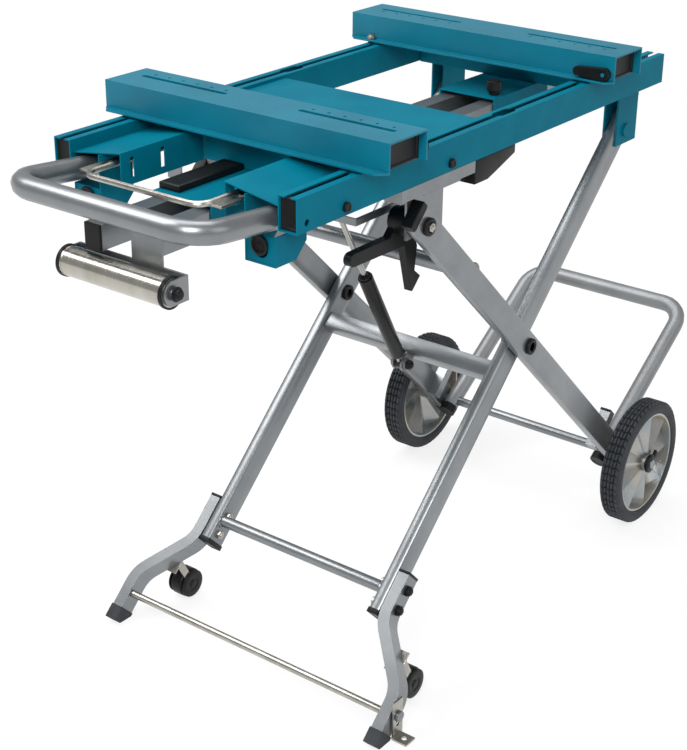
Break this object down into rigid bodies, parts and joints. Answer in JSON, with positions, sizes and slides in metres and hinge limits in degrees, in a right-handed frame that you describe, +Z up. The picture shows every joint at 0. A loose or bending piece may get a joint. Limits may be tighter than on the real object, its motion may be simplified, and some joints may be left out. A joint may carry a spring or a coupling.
{
  "type": "miter saw stand",
  "caption": "Folding wheeled stand for a miter saw: slotted rails with mounting bars, extension arms with rollers, and scissor legs on wheels.",
  "frame": {"origin": "on the floor, under the middle of the stand's bounding box", "axes": "+X along the rails from the carry handle to the rest bar, +Y across to the far side, +Z up"},
  "size_m": [1.3038, 0.543, 0.847],
  "materials": {
    "teal_powder_coat": "satin powder coat",
    "silver_paint": "satin paint",
    "zinc_plate": "zinc plated",
    "black_plastic": "moulded",
    "black_rubber": "moulded",
    "tyre_rubber": "block tread",
    "grey_rim": "moulded"
  },
  "bodies": {
    "table": {"near_rail": "teal_powder_coat", "far_rail": "teal_powder_coat", "deck_plate": "teal_powder_coat", "near_side_tray": "teal_powder_coat", "far_side_tray": "teal_powder_coat", "front_cross_member": "teal_powder_coat", "rear_cross_member": "teal_powder_coat", "front_arm_guide": "teal_powder_coat", "rear_arm_guide": "teal_powder_coat", "near_end_bracket": "teal_powder_coat", "far_end_bracket": "teal_powder_coat", "near_pivot_bracket": "teal_powder_coat", "far_pivot_bracket": "teal_powder_coat", "carry_handle": "silver_paint"},
    "front_lock": {"front_arm_lock": "black_plastic"},
    "rear_lock": {"rear_arm_lock": "black_plastic"},
    "release": {"release_bail": "zinc_plate"},
    "left_bar": {"left_mounting_bar": "teal_powder_coat"},
    "right_bar": {"right_mounting_bar": "teal_powder_coat"},
    "left_clamp": {"left_clamp_lever": "black_plastic"},
    "right_clamp": {"right_clamp_lever": "black_plastic"},
    "left_extension": {"left_arm": "silver_paint", "left_arm_plug": "black_plastic", "left_roller_yoke": "silver_paint"},
    "right_extension": {"right_arm": "silver_paint", "right_arm_plug": "black_plastic", "right_roller_yoke": "silver_paint"},
    "left_work_roller": {"left_roller": "zinc_plate"},
    "right_work_roller": {"right_roller": "zinc_plate"},
    "foot_legs": {"near_foot_leg": "silver_paint", "far_foot_leg": "silver_paint", "mid_cross_tube": "silver_paint", "low_cross_tube": "silver_paint", "near_foot": "silver_paint", "far_foot": "silver_paint", "near_foot_shoe": "black_rubber", "far_foot_shoe": "black_rubber", "foot_tie_rod": "zinc_plate", "near_caster_fork": "zinc_plate", "far_caster_fork": "zinc_plate"},
    "near_caster_wheel": {"near_caster": "black_plastic"},
    "far_caster_wheel": {"far_caster": "black_plastic"},
    "leveller": {"levelling_foot": "zinc_plate"},
    "wheel_legs": {"near_wheel_leg": "silver_paint", "far_wheel_leg": "silver_paint", "near_wheel_leg_cap": "black_plastic", "far_wheel_leg_cap": "black_plastic", "high_cross_tube": "silver_paint", "wheel_axle": "zinc_plate", "rest_bar": "silver_paint", "near_axle_clip": "black_plastic", "far_axle_clip": "black_plastic"},
    "near_wheel": {"near_wheel_rim": "grey_rim", "near_wheel_tyre": "tyre_rubber"},
    "far_wheel": {"far_wheel_rim": "grey_rim", "far_wheel_tyre": "tyre_rubber"},
    "carriage_slide": {"carriage": "silver_paint"},
    "latch": {"latch_lever": "black_plastic"},
    "strut_body": {"strut_cylinder": "black_plastic"},
    "strut_piston": {"strut_rod": "zinc_plate"}
  },
  "joints": [
    {"name": "leg_fold", "type": "hinge", "parent": "table", "child": "foot_legs", "pos_m": [0.31703, 0.01265, 0.6934], "axis": [0, 1, 0], "range_deg": [0, 38]},
    {"name": "scissor_cross", "type": "hinge", "parent": "foot_legs", "child": "wheel_legs", "pos_m": [0.03822, 0.01265, 0.4279], "axis": [0, 1, 0], "range_deg": [-76, 0]},
    {"name": "carriage_pivot", "type": "hinge", "parent": "wheel_legs", "child": "carriage_slide", "pos_m": [-0.24058, 0.01265, 0.6934], "axis": [0, 1, 0], "range_deg": [0, 38]},
    {"name": "latch_turn", "type": "hinge", "parent": "carriage_slide", "child": "latch", "pos_m": [-0.24058, 0.01265, 0.6934], "axis": [0, 1, 0], "range_deg": [0, 12], "stiffness_Nm_per_rad": 2, "springref_deg": -11.46},
    {"name": "strut_swing", "type": "hinge", "parent": "foot_legs", "child": "strut_body", "pos_m": [-0.02311, 0.01265, 0.36949], "axis": [0, 1, 0], "range_deg": [-90, 0]},
    {"name": "strut_stroke", "type": "slide", "parent": "strut_body", "child": "strut_piston", "axis": [-0.4908, 0, 0.8713], "range_m": [-0.106, 0]},
    {"name": "near_caster_spin", "type": "hinge", "parent": "foot_legs", "child": "near_caster_wheel", "pos_m": [-0.29504, -0.20135, 0.0263], "axis": [0, 1, 0], "continuous": true},
    {"name": "far_caster_spin", "type": "hinge", "parent": "foot_legs", "child": "far_caster_wheel", "pos_m": [-0.29504, 0.22665, 0.0263], "axis": [0, 1, 0], "continuous": true},
    {"name": "leveller_slide", "type": "slide", "parent": "foot_legs", "child": "leveller", "axis": [0, 0, 1], "range_m": [0, 0.012]},
    {"name": "near_wheel_spin", "type": "hinge", "parent": "wheel_legs", "child": "near_wheel", "pos_m": [0.37446, -0.21085, 0.1077], "axis": [0, 1, 0], "continuous": true},
    {"name": "far_wheel_spin", "type": "hinge", "parent": "wheel_legs", "child": "far_wheel", "pos_m": [0.37446, 0.23615, 0.1077], "axis": [0, 1, 0], "continuous": true},
    {"name": "left_arm_slide", "type": "slide", "parent": "table", "child": "left_extension", "axis": [-1, 0, 0], "range_m": [0, 0.25]},
    {"name": "right_arm_slide", "type": "slide", "parent": "table", "child": "right_extension", "axis": [1, 0, 0], "range_m": [0, 0.25]},
    {"name": "left_roller_spin", "type": "hinge", "parent": "left_extension", "child": "left_work_roller", "pos_m": [-0.61897, 0.00465, 0.696], "axis": [0, 1, 0], "continuous": true},
    {"name": "right_roller_spin", "type": "hinge", "parent": "right_extension", "child": "right_work_roller", "pos_m": [0.51103, 0.02065, 0.696], "axis": [0, 1, 0], "continuous": true},
    {"name": "left_bar_slide", "type": "slide", "parent": "table", "child": "left_bar", "axis": [1, 0, 0], "range_m": [-0.09, 0.15]},
    {"name": "right_bar_slide", "type": "slide", "parent": "table", "child": "right_bar", "axis": [1, 0, 0], "range_m": [-0.15, 0.09]},
    {"name": "left_clamp_turn", "type": "hinge", "parent": "left_bar", "child": "left_clamp", "pos_m": [-0.31147, -0.20735, 0.8208], "axis": [1, 0, 0], "range_deg": [0, 70]},
    {"name": "right_clamp_turn", "type": "hinge", "parent": "right_bar", "child": "right_clamp", "pos_m": [0.15303, -0.20735, 0.8208], "axis": [1, 0, 0], "range_deg": [0, 70]},
    {"name": "release_pull", "type": "slide", "parent": "table", "child": "release", "axis": [-1, 0, 0], "range_m": [0, 0.02], "stiffness_N_per_m": 200, "springref_m": -0.01},
    {"name": "front_lock_turn", "type": "hinge", "parent": "table", "child": "front_lock", "pos_m": [-0.45597, 0.01265, 0.7355], "axis": [0, 1, 0], "range_deg": [0, 180]},
    {"name": "rear_lock_turn", "type": "hinge", "parent": "table", "child": "rear_lock", "pos_m": [0.15303, -0.02135, 0], "axis": [0, 0, 1], "range_deg": [0, 180]}
  ],
  "couplings": [
    {"joint": "scissor_cross", "follows": "leg_fold", "ratio": -2},
    {"joint": "carriage_pivot", "follows": "leg_fold", "ratio": 1},
    {"joint": "strut_swing", "follows": "leg_fold", "ratio": -2.3276},
    {"joint": "strut_stroke", "follows": "leg_fold", "m_per_rad": -0.15775}
  ]
}
